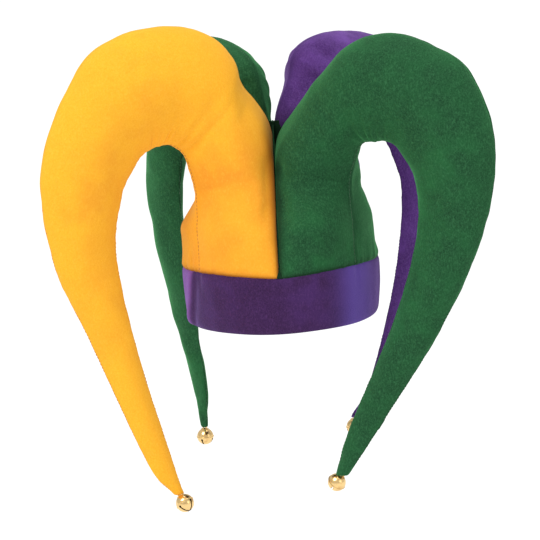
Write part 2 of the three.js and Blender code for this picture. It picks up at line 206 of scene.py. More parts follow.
# heading and corner: degrees from the wearer's side to the horn's seam plane and to its corner seam.
# reach, rise and drop: shares of the largest horn's. tip_out: the tip's place as a share of its reach.
# side_puff: how far the crown's panel at the wearer's side puffs out, where the other has panel_puff.
# side_parting: how far that panel draws in as the crown parts, as a share of parting_depth.
# tilt and lean: how far the top of the bell leans to the back and to the wearer's side, in degrees.
# folds: where the felt buckles across the horn, each with its place from band to tip, its place round
# from the inner to the outer seam, its slant, its length round, its width and its depth.
horns = [
    dict(name="front_left", side=-1, face=-1, heading=25, corner=37, reach=1, rise=1, drop=1,
         tip_out=0.54, side_puff=0.002, side_parting=1, tip_width=0.009, tilt=35, lean=30, spin=20,
         rows=front_left_rows, felt="gold", seed=1.7,
         folds=[
             (0.405, 0.14, 0.02, 0.12, 0.0055, 0.0014), (0.440, 0.13, -0.02, 0.11, 0.0050, 0.0014),
             (0.475, 0.13, -0.02, 0.10, 0.0050, 0.0011), (0.510, 0.14, 0.05, 0.12, 0.0060, 0.0012),
             (0.300, 0.16, -0.08, 0.26, 0.0100, 0.0018), (0.350, 0.15, -0.05, 0.18, 0.0075, 0.0016),
         ]),
    dict(name="front_right", side=1, face=-1, heading=25, corner=41, reach=0.96, rise=0.94, drop=0.97,
         tip_out=0.295, side_puff=0.002, side_parting=0.42, tip_width=0.012, tilt=-30, lean=30, spin=0,
         rows=front_right_rows, felt="green", seed=5.2,
         folds=[
             (0.425, 0.14, 0.03, 0.13, 0.0060, 0.0018), (0.455, 0.13, 0.02, 0.13, 0.0055, 0.0018),
             (0.485, 0.13, 0.02, 0.11, 0.0050, 0.0014), (0.520, 0.14, 0.05, 0.13, 0.0060, 0.0014),
             (0.380, 0.15, -0.05, 0.18, 0.0080, 0.0016), (0.330, 0.15, -0.06, 0.22, 0.0100, 0.0016),
             (0.250, 0.45, 0.03, 0.36, 0.0100, 0.0012), (0.215, 0.40, -0.05, 0.30, 0.0070, 0.0010),
             (0.140, 0.45, 0.04, 0.40, 0.0110, 0.0010),
         ]),
    dict(name="back_left", side=-1, face=1, heading=58, corner=48, reach=0.98, rise=0.94, drop=0.915,
         tip_out=0.656, side_puff=0.005, side_parting=1, tip_width=0.008, tilt=0, lean=0, spin=35,
         rows=back_left_rows, felt="green", seed=9.4,
         folds=[
             (0.250, 0.78, 0.02, 0.20, 0.007, 0.0014), (0.285, 0.74, -0.02, 0.18, 0.007, 0.0014),
             (0.215, 0.80, 0.03, 0.18, 0.008, 0.0012), (0.325, 0.76, 0.02, 0.18, 0.007, 0.0010),
             (0.845, 0.5, 0.01, 0.3, 0.0050, 0.0010), (0.880, 0.4, -0.01, 0.3, 0.0045, 0.0008),
             (0.945, 0.5, 0.01, 0.3, 0.0045, 0.0006), (0.780, 0.5, 0.02, 0.3, 0.0060, 0.0010),
             (0.440, 0, 0.03, 0.16, 0.010, 0.0016), (0.490, 0, 0.03, 0.16, 0.010, 0.0014),
         ]),
    dict(name="back_right", side=1, face=1, heading=45, corner=48, reach=1.06, rise=0.93, drop=0.833,
         tip_out=0.408, side_puff=0.0, side_parting=0.5, tip_width=0.008, tilt=0, lean=0, spin=60,
         rows=back_right_rows, felt="purple", seed=13.1,
         folds=[
             (0.305, 0.94, 0.02, 0.14, 0.0050, 0.0018), (0.345, 0.72, 0.04, 0.22, 0.009, 0.0014),
             (0.250, 0.65, 0.06, 0.22, 0.010, 0.0014), (0.655, 0.4, 0.02, 0.3, 0.0060, 0.0011),
             (0.700, 0.5, -0.02, 0.3, 0.0050, 0.0010), (0.745, 0.4, 0.02, 0.3, 0.0055, 0.0010),
             (0.450, 0, 0.03, 0.16, 0.010, 0.0016), (0.500, 0, 0.03, 0.16, 0.010, 0.0014),
         ]),
]

felt_grain = 1.0 / 0.0011
felt_tuft = 1.0 / 0.0014
felt_cloud = 1.0 / 0.018
felt_drift = 1.0 / 0.075


def shade(red, green, blue):
    """A colour as the eye names it, from 0 to 255, in the linear values that a shader takes."""
    return (*[(part / 255 / 12.92 if part < 11 else ((part / 255 + 0.055) / 1.055) ** 2.4)
              for part in (red, green, blue)], 1)


def mixed(tree, amount, first, second):
    return place_node(tree, "Mix", {0: amount, 6: first, 7: second}, data_type="RGBA").outputs[2]


def spread(tree, value, low, high, bottom=0.0, top=1.0):
    """Stretches the part of a pattern between low and high to run from bottom to top."""
    return place_node(tree, "MapRange", {
        "Value": value, "From Min": low, "From Max": high, "To Min": bottom, "To Max": top,
    }).outputs["Result"]


# The nap of the felt: matted fibres with pits between them, where painted shade darkens the pits and gives
# the felt its fine random mottling, paler tufts that stand up, slow clouds where it was brushed one way or
# the other, and puckers that the thread draws along the seams. The felt is also darkened along each seam, and
# it gets painted shade over the crown below the horns, in the creases between the horns and along the seam
# over the band.
felt_nap = bpy.data.node_groups.new("felt nap", "ShaderNodeTree")
for socket_name, socket_type in (
    ("Colour", "NodeSocketColor"), ("Pit Colour", "NodeSocketColor"), ("Tuft Colour", "NodeSocketColor"),
    ("Cloud And Shade Colour", "NodeSocketColor"), ("Painted Shade Colour", "NodeSocketColor"),
    ("Tufts", "NodeSocketFloat"), ("Clouds", "NodeSocketFloat"), ("Crown Shade", "NodeSocketFloat"),
):
    felt_nap.interface.new_socket(name=socket_name, in_out="INPUT", socket_type=socket_type)
for socket_name, socket_type in (
    ("Colour", "NodeSocketColor"), ("Roughness", "NodeSocketFloat"), ("Height", "NodeSocketFloat"),
):
    felt_nap.interface.new_socket(name=socket_name, in_out="OUTPUT", socket_type=socket_type)
given = felt_nap.nodes.new("NodeGroupInput").outputs
place = place_node(felt_nap, "TexCoord").outputs["Object"]
seam_near = place_node(felt_nap, "Attribute", attribute_name="seam_near").outputs["Fac"]
along_seam = place_node(felt_nap, "Attribute", attribute_name="along").outputs["Fac"]
painted_shade_in = place_node(felt_nap, "Attribute", attribute_name="painted_shade").outputs["Fac"]
on_crown = place_node(felt_nap, "Attribute", attribute_name="crown").outputs["Fac"]
grain = place_node(felt_nap, "TexNoise", {
    "Vector": place, "Scale": felt_grain, "Detail": 3.0, "Roughness": 0.65,
}).outputs["Fac"]
combed = place_node(felt_nap, "Mapping", {"Vector": place, "Scale": (1.0, 1.0, 0.55)})
tuft = place_node(felt_nap, "TexNoise", {
    "Vector": combed.outputs["Vector"], "Scale": felt_tuft, "Detail": 4.0, "Roughness": 0.6,
    "Distortion": 0.6,
}).outputs["Fac"]
cloud = place_node(felt_nap, "TexNoise", {"Vector": place, "Scale": felt_cloud, "Detail": 2.0}).outputs["Fac"]
drift = place_node(felt_nap, "TexNoise", {"Vector": place, "Scale": felt_drift, "Detail": 1.0}).outputs["Fac"]
# Painted shade in the pits: where the grain is low, as the bump is, the colour goes towards the pit colour.
# The same mix gives the felt its fine random mottling.
matted = spread(felt_nap, grain, 0.32, 0.62)
body = mixed(felt_nap, matted, given["Pit Colour"], given["Colour"])
brushed = place_node(felt_nap, "Math", {
    0: spread(felt_nap, cloud, 0.35, 0.68), 1: spread(felt_nap, drift, 0.3, 0.7),
}, operation="MULTIPLY").outputs[0]
cloudy = place_node(felt_nap, "Math", {0: brushed, 1: given["Clouds"]}, operation="MULTIPLY").outputs[0]
# Painted shade over the crown: where the felt is still crown, below the arches of the horns, it is mixed in
# slow patches towards the same colour as the clouds.
crown_shade_mask = place_node(felt_nap, "Math", {
    0: spread(felt_nap, drift, 0.25, 0.7, 0.45, 1.0), 1: on_crown,
}, operation="MULTIPLY").outputs[0]
cloudy = place_node(felt_nap, "Math", {
    0: crown_shade_mask, 1: given["Crown Shade"], 2: cloudy,
}, operation="MULTIPLY_ADD", use_clamp=True).outputs[0]
body = mixed(felt_nap, cloudy, body, given["Cloud And Shade Colour"])
standing = place_node(felt_nap, "Math", {0: spread(felt_nap, tuft, 0.48, 0.74), 1: given["Tufts"]},
                      operation="MULTIPLY").outputs[0]
body = mixed(felt_nap, standing, body, given["Tuft Colour"])
drawn = place_node(felt_nap, "Math", {0: seam_near, 1: 0.55}, operation="MULTIPLY").outputs[0]
body = mixed(felt_nap, drawn, body, given["Pit Colour"])
# Painted shade: the felt goes dark in the creases between the horns and along the seam over the band.
body = mixed(felt_nap, spread(felt_nap, painted_shade_in, 0.05, 1.0, 0.0, 0.85), body, given["Painted Shade Colour"])
pucker_line = place_node(felt_nap, "CombineXYZ", {"X": along_seam})
pucker = place_node(felt_nap, "TexNoise", {
    "Vector": pucker_line.outputs[0], "Scale": 1.0 / 0.006, "Detail": 1.0,
}).outputs["Fac"]
drawn_in = place_node(felt_nap, "Math", {0: pucker, 1: seam_near}, operation="MULTIPLY").outputs[0]
low_pile = place_node(felt_nap, "Math", {0: tuft, 1: 0.5, 2: grain}, operation="MULTIPLY_ADD").outputs[0]
pile = place_node(felt_nap, "Math", {0: drawn_in, 1: -2.0, 2: low_pile}, operation="MULTIPLY_ADD").outputs[0]
result = felt_nap.nodes.new("NodeGroupOutput").inputs
felt_nap.links.new(body, result["Colour"])
felt_nap.links.new(spread(felt_nap, grain, 0.3, 0.7, 1.0, 0.82), result["Roughness"])
felt_nap.links.new(pile, result["Height"])


def felt(name, colour, pit, tuft, cloud, painted_shade_colour, tufts, clouds, sheen, sheen_tint, bump=0.5,
         crown_shade=0.0):
    """A brushed felt. Its sheen, from the fine fibres that stand up, sits on the shader itself."""
    material, tree, shader = bare_material(name)
    nap = tree.nodes.new("ShaderNodeGroup")
    nap.node_tree = felt_nap
    nap.inputs["Colour"].default_value = colour
    nap.inputs["Pit Colour"].default_value = pit
    nap.inputs["Tuft Colour"].default_value = tuft
    nap.inputs["Cloud And Shade Colour"].default_value = cloud
    nap.inputs["Painted Shade Colour"].default_value = painted_shade_colour
    nap.inputs["Tufts"].default_value = tufts
    nap.inputs["Clouds"].default_value = clouds
    nap.inputs["Crown Shade"].default_value = crown_shade
    relief = place_node(tree, "Bump", {
        "Height": nap.outputs["Height"], "Strength": bump, "Distance": 0.0005,
    })
    tree.links.new(nap.outputs["Colour"], shader.inputs["Base Color"])
    tree.links.new(nap.outputs["Roughness"], shader.inputs["Roughness"])
    tree.links.new(relief.outputs["Normal"], shader.inputs["Normal"])
    shader.inputs["Specular IOR Level"].default_value = 0.15
    shader.inputs["Sheen Weight"].default_value = sheen
    shader.inputs["Sheen Roughness"].default_value = 0.45
    shader.inputs["Sheen Tint"].default_value = sheen_tint
    return material


# The gold gets painted shade over its crown, in slow orange patches.
felts = {
    "gold": felt("gold felt", shade(248, 180, 46), shade(242, 166, 38), shade(255, 200, 84),
                 shade(232, 148, 40), shade(136, 70, 14), 0.25, 0.5, 0.16, shade(255, 222, 140), bump=0.35,
                 crown_shade=0.75),
    "green": felt("green felt", shade(30, 76, 45), shade(18, 54, 32), shade(58, 116, 74),
                  shade(34, 96, 52), shade(6, 22, 12), 0.5, 0.6, 0.60, shade(96, 190, 116)),
    "purple": felt("purple felt", shade(80, 46, 112), shade(56, 30, 84), shade(112, 78, 146),
                   shade(108, 68, 150), shade(26, 10, 40), 0.4, 0.7, 0.45, shade(178, 140, 220)),
}

row_steps = 16
panel_steps = 16
wall_steps = 6
side_steps = panel_steps + wall_steps
first_steps = (0, 0.0012, 0.003, 0.006, 0.012, 0.022, 0.036)


def crown_edge(angle):
    return Vector((crown_width / 2 * math.cos(angle), crown_length / 2 * math.sin(angle)))


def clamp(value):
    return min(1.0, max(0.0, value))


def smooth_step(value, low, high):
    share = clamp((value - low) / (high - low))
    return share * share * (3 - 2 * share)


def blend(first, second, share):
    return first + (second - first) * share


class SeamPlane:
    """The upright plane that a horn's two seams lie in, in the quarter where x and y are positive."""

    def __init__(self, horn):
        heading = math.radians(horn["heading"])
        corner = math.radians(horn["corner"])
        self.corner = corner
        self.along = Vector((math.cos(heading), math.sin(heading)))
        self.across = Vector((-math.sin(heading), math.cos(heading)))
        self.corner_out = crown_edge(corner).dot(self.along)
        self.offset = crown_edge(corner).dot(self.across)
        self.reach = horn["reach"] * horn_reach
        self.rise = horn["rise"] * horn_rise
        self.drop = horn["drop"] * horn_drop
        self.tip_out = horn["tip_out"] * self.reach
        self.tip_width = horn["tip_width"]

    def up(self, share):
        return band_top + share * (band_top + self.drop if share < 0 else self.rise - band_top)

    def sections(self, rows):
        """Each section: outer seam out and up, inner seam out and up, thickness, and share of crown."""
        made = [(0, band_top, self.corner_out, band_top, horn_thickness, 1)]
        for outer_out, outer_up, inner_out, inner_up, thick, crown in rows:
            made.append((
                outer_out * self.reach, self.up(outer_up),
                blend(self.corner_out, self.reach, inner_out), self.up(inner_up),
                thick * horn_thickness, crown,
            ))
        made.append((
            self.tip_out + self.tip_width / 2, -self.drop, self.tip_out - self.tip_width / 2, -self.drop,
            tip_thickness, 0,
        ))
        return made


def along_sections(sections, t):
    """The section at t, from 0 at the band to 1 at the tip, on a smooth way through all of them."""
    last = len(sections) - 1
    start = min(int(t * last), last - 1)
    share = t * last - start
    near, far = sections[start], sections[start + 1]
    before = sections[start - 1] if start > 0 else [2 * a - b for a, b in zip(near, far)]
    after = sections[start + 2] if start + 2 <= last else [2 * b - a for a, b in zip(near, far)]
    made = []
    for a, b, c, d in zip(before, near, far, after):
        leave = (c - a) / 2
        reach = (d - b) / 2
        made.append(
            b + leave * share + (3 * (c - b) - 2 * leave - reach) * share ** 2
            + (2 * (b - c) + leave + reach) * share ** 3
        )
    return made


def tube_point(section, plane, share, hand):
    """A point of a stuffed tube: two panels that bow apart between the inner and the outer seam."""
    outer_out, outer_up, inner_out, inner_up, thickness, _ = section
    across = (1 - math.cos(math.pi * share)) / 2
    bow = (4 * across * (1 - across)) ** seam_sharpness if 0 < share < 1 else 0
    plan = plane.along * blend(inner_out, outer_out, across)
    plan += plane.across * (plane.offset + hand * bow * thickness / 2)
    return Vector((plan.x, plan.y, blend(inner_up, outer_up, across)))


def crown_point(horn, section, plane, share, hand):
    """A point of a quarter of the crown: a puffed panel, and then the crease wall beside the next horn."""
    _, outer_up, inner_out, inner_up, _, _ = section
    panel_share = min(1, share * side_steps / panel_steps)
    wall_share = max(0, (share * side_steps - panel_steps) / wall_steps)
    edge = crown_edge(blend(plane.corner, math.pi / 2 if hand > 0 else 0, panel_share))
    rising = clamp((inner_up - band_top) / band_height)
    parting = smooth_step(inner_up, parting_from, parting_to)
    middle_puff = panel_puff if hand > 0 else horn["side_puff"]
    puff = middle_puff * math.sin(math.pi * panel_share) - crease_depth * panel_share ** crease_sharpness
    parted = parting_depth * (1 if hand > 0 else horn["side_parting"]) * panel_share ** parting_sharpness
    edge *= inner_out / plane.corner_out + (rising * puff - parting * parted) / edge.length
    edge *= 1 - wall_share
    up = blend(outer_up, inner_up, clamp(edge.dot(plane.along) / inner_out))
    return Vector((edge.x, edge.y, up))


def in_quarter(horn, place):
    """Keeps a point on its own side of the creases between the horns."""
    return Vector((
        horn["side"] * max(place.x * horn["side"], seam_gap / 2),
        horn["face"] * max(place.y * horn["face"], seam_gap / 2),
        place.z,
    ))


def horn_ring():
    """How far round the horn each point of a section is: its share from inner to outer seam, and side."""
    front = [(step / side_steps, 1) for step in range(side_steps + 1)]
    return front + [(step / side_steps, -1) for step in range(side_steps - 1, 0, -1)]


# The seam to the band draws the felt in by a little, so a dark line shows over the band, made darker still by
# painted shade along the seam. Between the seams of the crown it runs higher, because each panel's lower edge
# was cut nearly straight. The felt goes on a little below it, inside the band.
band_seam_depth = 0.0010
band_seam_height = 0.0014
seam_allowance = 0.0022
edge_height = 0.0034
edge_fade = 0.022


def edge_rise(place):
    """How much higher than at the creases the band is sewn on below a point."""
    return edge_height * abs(math.sin(2 * math.atan2(place.y * head_width, place.x * head_length)))


def horn_skin(horn):
    """The horn before it is stuffed, a closed mesh, with where each of its points is on it."""
    plane = SeamPlane(horn)
    sections = plane.sections(horn["rows"])
    count = (len(sections) - 1) * row_steps
    steps = list(first_steps) + [i / count for i in range(count + 1) if i / count > first_steps[-1] + 0.004]
    ring = horn_ring()
    points, marks = [], []
    travelled = 0
    middle = None
    for t in steps:
        section = along_sections(sections, t)
        crown = clamp(section[5])
        loop = []
        for share, hand in ring:
            point = tube_point(section, plane, share, hand)
            if crown > 0:
                point = point.lerp(crown_point(horn, section, plane, share, hand), crown)
            drawn = 0
            if crown > 0.99:
                drawn = band_seam_depth * math.exp(-(point.z - band_top) / band_seam_height)
            out = max(point.xy.length, 0.001)
            point.x *= 1 - drawn / out
            point.y *= 1 - drawn / out
            if crown > 0:
                point.z += crown * edge_rise(point) * math.exp(-max(0, point.z - band_top) / edge_fade)
            if t == 0:
                point.z -= seam_allowance
            loop.append(in_quarter(horn, Vector((point.x * horn["side"], point.y * horn["face"], point.z))))
        centre = sum(loop, Vector()) / len(loop)
        travelled += (centre - middle).length if middle else 0
        middle = centre
        points += loop
        marks += [(t, share, hand, travelled, crown) for share, hand in ring]
    size = len(ring)
    faces = []
    for row in range(len(steps) - 1):
        for i in range(size):
            j = (i + 1) % size
            faces.append((row * size + i, row * size + j, (row + 1) * size + j, (row + 1) * size + i))
    top = len(points)
    points += [sum(points[:size], Vector()) / size, sum(points[-size:], Vector()) / size]
    marks += [(0, 0.5, 1, 0, 1), (1, 0.5, 1, travelled, 0)]
    last = (len(steps) - 1) * size
    faces += [(top, (i + 1) % size, i) for i in range(size)]
    faces += [(top + 1, last + i, last + (i + 1) % size) for i in range(size)]
    mesh = bpy.data.meshes.new(horn["name"] + "_horn")
    mesh.from_pydata(points, [], faces)
    face_out(mesh)
    return mesh, marks


def face_out(mesh):
    """Turns every face of a closed mesh outwards."""
    work = bmesh.new()
    work.from_mesh(mesh)
    bmesh.ops.recalc_face_normals(work, faces=work.faces)
    work.to_mesh(mesh)
    work.free()


def on_wall(share, crown):
    """How much a point belongs to the hidden wall of a crease, which stays where it is."""
    return crown * clamp((share * side_steps - panel_steps + 2) / 2)


# The form starts slimmer than the horn, because the stuffing swells it, and both grow less to the tip.
slimming = 0.0007
swell_limit = 0.0024
stuffing_pressure = 4
slack = 0.015
narrow_from = 0.55
narrow_share = 0.2
evening_passes = 2


def hold(mark):
    """How firmly a point is held while the horn is stuffed: fully at its seams, its ends and the walls."""
    t, share, _, _, crown = mark
    to_seam = share if crown > 0.5 else min(share, 1 - share)
    ends = 1 if t < 0.02 or t > 0.985 else 0
    return max(1 - to_seam * side_steps, ends, on_wall(share, crown), 0)


def roominess(t):
    """How much the stuffing moves the felt at t: fully on the wide part, and little near the tip."""
    return blend(1, narrow_share, clamp((t - narrow_from) / (1 - narrow_from)))


def evened(mesh, moves):
    """Each point's move, averaged with those of the points beside it."""
    sums = [move.copy() for move in moves]
    counts = [1] * len(moves)
    for edge in mesh.edges:
        a, b = edge.vertices
        sums[a] += moves[b]
        sums[b] += moves[a]
        counts[a] += 1
        counts[b] += 1
    return [total / count for total, count in zip(sums, counts)]


def stuff(horn, mesh, marks):
    """Blows the felt out with Blender's cloth, and caps how far each point goes."""
    holds = [hold(mark) for mark in marks]
    start = [
        point.co - point.normal * slimming * roominess(mark[0]) * (1 - held)
        for point, mark, held in zip(mesh.vertices, marks, holds)
    ]
    for point, place in zip(mesh.vertices, start):
        point.co = place
    form = add_object(horn["name"] + "_stuffing", mesh)
    held_points = form.vertex_groups.new(name="held")
    for i, held in enumerate(holds):
        held_points.add([i], held, "REPLACE")
    cloth = form.modifiers.new("stuffing", "CLOTH")
    cloth.settings.quality = 5
    cloth.settings.mass = 0.15
    cloth.settings.tension_stiffness = 12
    cloth.settings.compression_stiffness = 8
    cloth.settings.shear_stiffness = 4
    cloth.settings.bending_stiffness = 0.3
    cloth.settings.use_pressure = True
    cloth.settings.uniform_pressure_force = stuffing_pressure
    cloth.settings.vertex_group_mass = "held"
    cloth.settings.shrink_min = -slack
    cloth.settings.effector_weights.gravity = 0
    cloth.collision_settings.use_collision = False
    for moment in range(1, 21):
        scene.frame_set(moment)
    stuffed = form.evaluated_get(bpy.context.evaluated_depsgraph_get()).to_mesh()
    moves = [stuffed.vertices[i].co - start[i] for i in range(len(start))]
    form.modifiers.remove(cloth)
    scene.frame_set(1)
    for _ in range(evening_passes):
        moves = evened(mesh, moves)
    for point, place, move, mark, held in zip(mesh.vertices, start, moves, marks, holds):
        limit = swell_limit * roominess(mark[0])
        if move.length > limit:
            move *= limit / move.length
        point.co = in_quarter(horn, place + move * (1 - held))
    bpy.data.objects.remove(form)


seam_groove = 0.0007
crease_roll = 0.0070
crease_roll_width = 0.13
crease_line = 0.025
crease_edge = 0.0030
# How wide the painted shade in a crease is, as a share of the panel, and how far the painted shade over the
# band's seam reaches up.
crease_shade_width = 0.08
band_seam_shade_height = 0.0022


def felt_relief(horn, mark, point):
    """How far the felt stands out at a point: soft lumps of stuffing, folds, puckers and seam grooves."""
    t, share, hand, along, crown = mark
    seed = horn["seed"]
    across = (1 - math.cos(math.pi * share)) / 2
    to_outer = 1 - across if crown < 0.5 else 1
    free = clamp(t / 0.05) * clamp((1 - t) / 0.03) * (1 - on_wall(share, crown))
    off_seam = clamp(min(across, to_outer) / 0.08)
    lumps = noise.noise(point * 20 + Vector((seed, 0, 0))) * 0.0014
    lumps += noise.noise(point * 48 + Vector((0, seed, 0))) * 0.0006
    lumps *= roominess(t)
    height = lumps * free * (0.35 + 0.65 * off_seam)
    bend = math.exp(-((t - 0.45) / 0.14) ** 2)
    gather = noise.noise(Vector((along * 62, hand * 3.1, seed)))
    height += 0.0009 * gather * math.exp(-across / 0.12) * bend * free
    pucker = noise.noise(Vector((along * 110, hand * 5.7, seed + 4)))
    height += 0.0005 * pucker * math.exp(-min(across, to_outer) / 0.05) * free
    if crown > 0 and hand > 0:
        to_crease = max(0, 1 - share * side_steps / panel_steps)
        rolled = math.exp(-(to_crease / crease_roll_width) ** 2) * clamp((point.z - band_top) / 0.012)
        rolled *= blend(0.4, 1, smooth_step(point.z, 0.06, 0.115)) * smooth_step(crown, 0.7, 1)
        waved = 0.7 + 0.9 * noise.noise(Vector((0, seed, point.z * 45)))
        edge = math.exp(-(to_crease / crease_line) ** 2) * clamp((point.z - band_top) / 0.004)
        sunk = crease_edge * edge * smooth_step(crown, 0.4, 1) + crease_roll * rolled
        height -= sunk * waved * (1 - on_wall(share, crown))
    if crown > 0.5:
        above_band = point.z - band_top
        rise = math.exp(-max(0, above_band - 0.004) / 0.011) * clamp((above_band - 0.001) / 0.004)
        around = noise.noise(Vector((share * 20, hand * 2.3, seed + 8)))
        height += 0.0020 * around * rise * (1 - on_wall(share, crown))
    for place, middle, slant, length, width, depth in horn["folds"]:
        reach = (share - middle) / length
        distance = (t - place - slant * (share - middle)) * horn["length"] / width
        if abs(reach) < 2.2 and abs(distance) < 5:
            valley = math.exp(-distance ** 2) - 0.45 * math.exp(-(distance - 1.9) ** 2)
            valley *= math.exp(-reach ** 2) * clamp(min(across, to_outer) / 0.05)
            height -= depth * valley * (0.8 + 0.2 * hand * math.sin(place * 90))
    if share == 0 or (share == 1 and crown < 0.3):
        height = 0.2 * height - seam_groove * clamp(t / 0.02) * clamp((1 - t) / 0.04)
    return height


# The room that the head takes in the crown, straight at the band and domed above it.
dome_sides = 96
dome_rings = 20


def head_room():
    points = []
    sizes = [(1, -0.02)]
    for i in range(dome_rings):
        lean = math.pi / 2 * i / dome_rings
        sizes.append((math.cos(lean), blend(head_straight, head_height, math.sin(lean))))
    for size, up in sizes:
        for i in range(dome_sides):
            angle = math.tau * i / dome_sides
            points.append((
                size * head_width / 2 * math.cos(angle), size * head_length / 2 * math.sin(angle), up,
            ))
    faces = []
    for row in range(len(sizes) - 1):
        for i in range(dome_sides):
            j = (i + 1) % dome_sides
            faces.append((row * dome_sides + i, row * dome_sides + j,
                          (row + 1) * dome_sides + j, (row + 1) * dome_sides + i))
    faces.append(tuple(reversed(range(dome_sides))))
    points.append((0, 0, head_height))
    last = (len(sizes) - 1) * dome_sides
    faces += [(last + i, last + (i + 1) % dome_sides, len(points) - 1) for i in range(dome_sides)]
    mesh = bpy.data.meshes.new("head_room")
    mesh.from_pydata(points, [], faces)
    face_out(mesh)
    return add_object("head_room", mesh)


def finished_mesh(source, name):
    """The mesh that a piece's modifiers make, as a plain mesh of its own."""
    depsgraph = bpy.context.evaluated_depsgraph_get()
    mesh = bpy.data.meshes.new_from_object(source.evaluated_get(depsgraph))
    mesh.name = name
    return mesh


mark_names = ("from_band", "from_inner_seam", "hand", "along", "crown")


def mark_points(mesh, name, values):
    mesh.attributes.new(name, "FLOAT", "POINT").data.foreach_set("value", values)


def read_points(mesh, name):
    values = [0.0] * len(mesh.vertices)
    mesh.attributes[name].data.foreach_get("value", values)
    return values


def painted_shade(mark, point):
    """How much painted shade the felt gets in the crease beside the next horn and along the seam over the
    band.
    """
    _, share, _, _, crown = mark
    to_crease = max(0, 1 - share * side_steps / panel_steps)
    lowest = band_top + edge_rise(point)
    in_crease = math.exp(-(to_crease / crease_shade_width) ** 2) * blend(0.5, 1, smooth_step(point.z, 0.06, 0.115))
    in_crease = max(in_crease, math.exp(-(to_crease / crease_line) ** 2)) * smooth_step(crown, 0.3, 0.9)
    over_band = smooth_step(crown, 0.4, 0.95) * math.exp(-max(0, point.z - lowest) / band_seam_shade_height)
    return max(in_crease, over_band)


def smoothed(horn, mesh, marks):
    """The stuffed horn with twice as many faces each way, shaped by the relief of its felt."""
    for name, values in zip(mark_names, zip(*marks)):
        mark_points(mesh, name, values)
    source = add_object(horn["name"] + "_coarse", mesh)
    smooth = source.modifiers.new("smooth", "SUBSURF")
    smooth.levels = smooth.render_levels = 1
    fine = finished_mesh(source, horn["name"] + "_fine")
    bpy.data.objects.remove(source)
    fine_marks = list(zip(*(read_points(fine, name) for name in mark_names)))
    normals = [point.normal.copy() for point in fine.vertices]
    for point, mark, normal in zip(fine.vertices, fine_marks, normals):
        point.co = in_quarter(horn, point.co + normal * felt_relief(horn, mark, point.co))
    mark_points(fine, "seam_near", [
        clamp(1 - (share if crown > 0.5 else min(share, 1 - share)) * side_steps / 1.6)
        for _, share, _, _, crown in fine_marks
    ])
    mark_points(fine, "painted_shade", [painted_shade(mark, point.co) for mark, point in zip(fine_marks, fine.vertices)])
    for name in ("from_band", "from_inner_seam", "hand"):
        fine.attributes.remove(fine.attributes[name])
    return fine


head = head_room()
horn_pieces = {}
seam_ways = {}
for horn in horns:
    mesh, marks = horn_skin(horn)
    horn["length"] = marks[-1][3]
    stuff(horn, mesh, marks)
    size = 2 * side_steps
    seam_ways[horn["name"]] = [
        [(mesh.vertices[row + at].co.copy(), mesh.vertices[row + beside].co.copy(), marks[row + at])
         for row in range(0, len(marks) // size * size, size)]
        for at, beside in ((0, 1), (side_steps, side_steps - 1))
    ]
    source = add_object(horn["name"] + "_source", smoothed(horn, mesh, marks), felts[horn["felt"]])
    hollow = source.modifiers.new("head room", "BOOLEAN")
    hollow.object = head
    hollow.operation = "DIFFERENCE"
    hollow.solver = "MANIFOLD"
    finished = finished_mesh(source, horn["name"] + "_horn_felt")
    bpy.data.objects.remove(source)
    finished.shade_smooth()
    finished.set_sharp_from_angle(angle=math.radians(75))
    piece = bpy.data.objects.new(horn["name"] + "_horn_felt", finished)
    scene.collection.objects.link(piece)
    horn_pieces[horn["name"]] = piece
    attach(piece, "root")
    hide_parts(horn["name"] + "_horn")
bpy.data.objects.remove(head)

# The seams. The panels are machine-sewn, and the thread, a little darker than the felt, sinks into the
# groove of the seam. Up the corners of the crown a line of stitches shows beside the seam.
stitch_pitch = 0.0032
stitch_length = 0.0027
thread_width = 0.00065
seam_to_stitches = 0.0020
corner_stitches_end = 0.43


def thread_material(name, light, dark):
    """Two-ply sewing thread: fine slanted plies, with a painted highlight on their backs and painted shade
    between them.
    """
    material, tree, shader = bare_material(name)
    place = place_node(tree, "TexCoord").outputs["Object"]
    plies = place_node(tree, "TexWave", {
        "Vector": place, "Scale": 1.0 / 0.0012, "Distortion": 1.5, "Detail": 1.0,
    }, bands_direction="DIAGONAL").outputs["Fac"]
    relief = place_node(tree, "Bump", {"Height": plies, "Strength": 0.5, "Distance": 0.0001})
    tree.links.new(mixed(tree, plies, dark, light), shader.inputs["Base Color"])
    tree.links.new(relief.outputs["Normal"], shader.inputs["Normal"])
    shader.inputs["Roughness"].default_value = 0.7
    shader.inputs["Sheen Weight"].default_value = 0.2
    return material


threads = {
    "gold": thread_material("gold thread", shade(202, 126, 36), shade(158, 92, 24)),
    "green": thread_material("green thread", shade(46, 104, 62), shade(18, 52, 30)),
    "purple": thread_material("purple thread", shade(78, 44, 112), shade(42, 22, 66)),
}

stitch_tree = bpy.data.node_groups.new("stitches", "GeometryNodeTree")
stitch_tree.interface.new_socket(name="Line", in_out="INPUT", socket_type="NodeSocketGeometry")
for socket_name in ("Pitch", "Stitch Length", "Thread Width", "Looseness"):
    stitch_tree.interface.new_socket(name=socket_name, in_out="INPUT", socket_type="NodeSocketFloat")
stitch_tree.interface.new_socket(name="Seed", in_out="INPUT", socket_type="NodeSocketInt")
stitch_tree.interface.new_socket(name="Thread", in_out="INPUT", socket_type="NodeSocketMaterial")
stitch_tree.interface.new_socket(name="Stitches", in_out="OUTPUT", socket_type="NodeSocketGeometry")


def place_step(kind, inputs=None, **settings):
    """Adds a geometry node to the stitches, as place_node adds a shader node."""
    made = stitch_tree.nodes.new(kind)
    for name, value in settings.items():
        setattr(made, name, value)
    for name, value in (inputs or {}).items():
        if isinstance(value, bpy.types.NodeSocket):
            stitch_tree.links.new(value, made.inputs[name])
        else:
            made.inputs[name].default_value = value
    return made


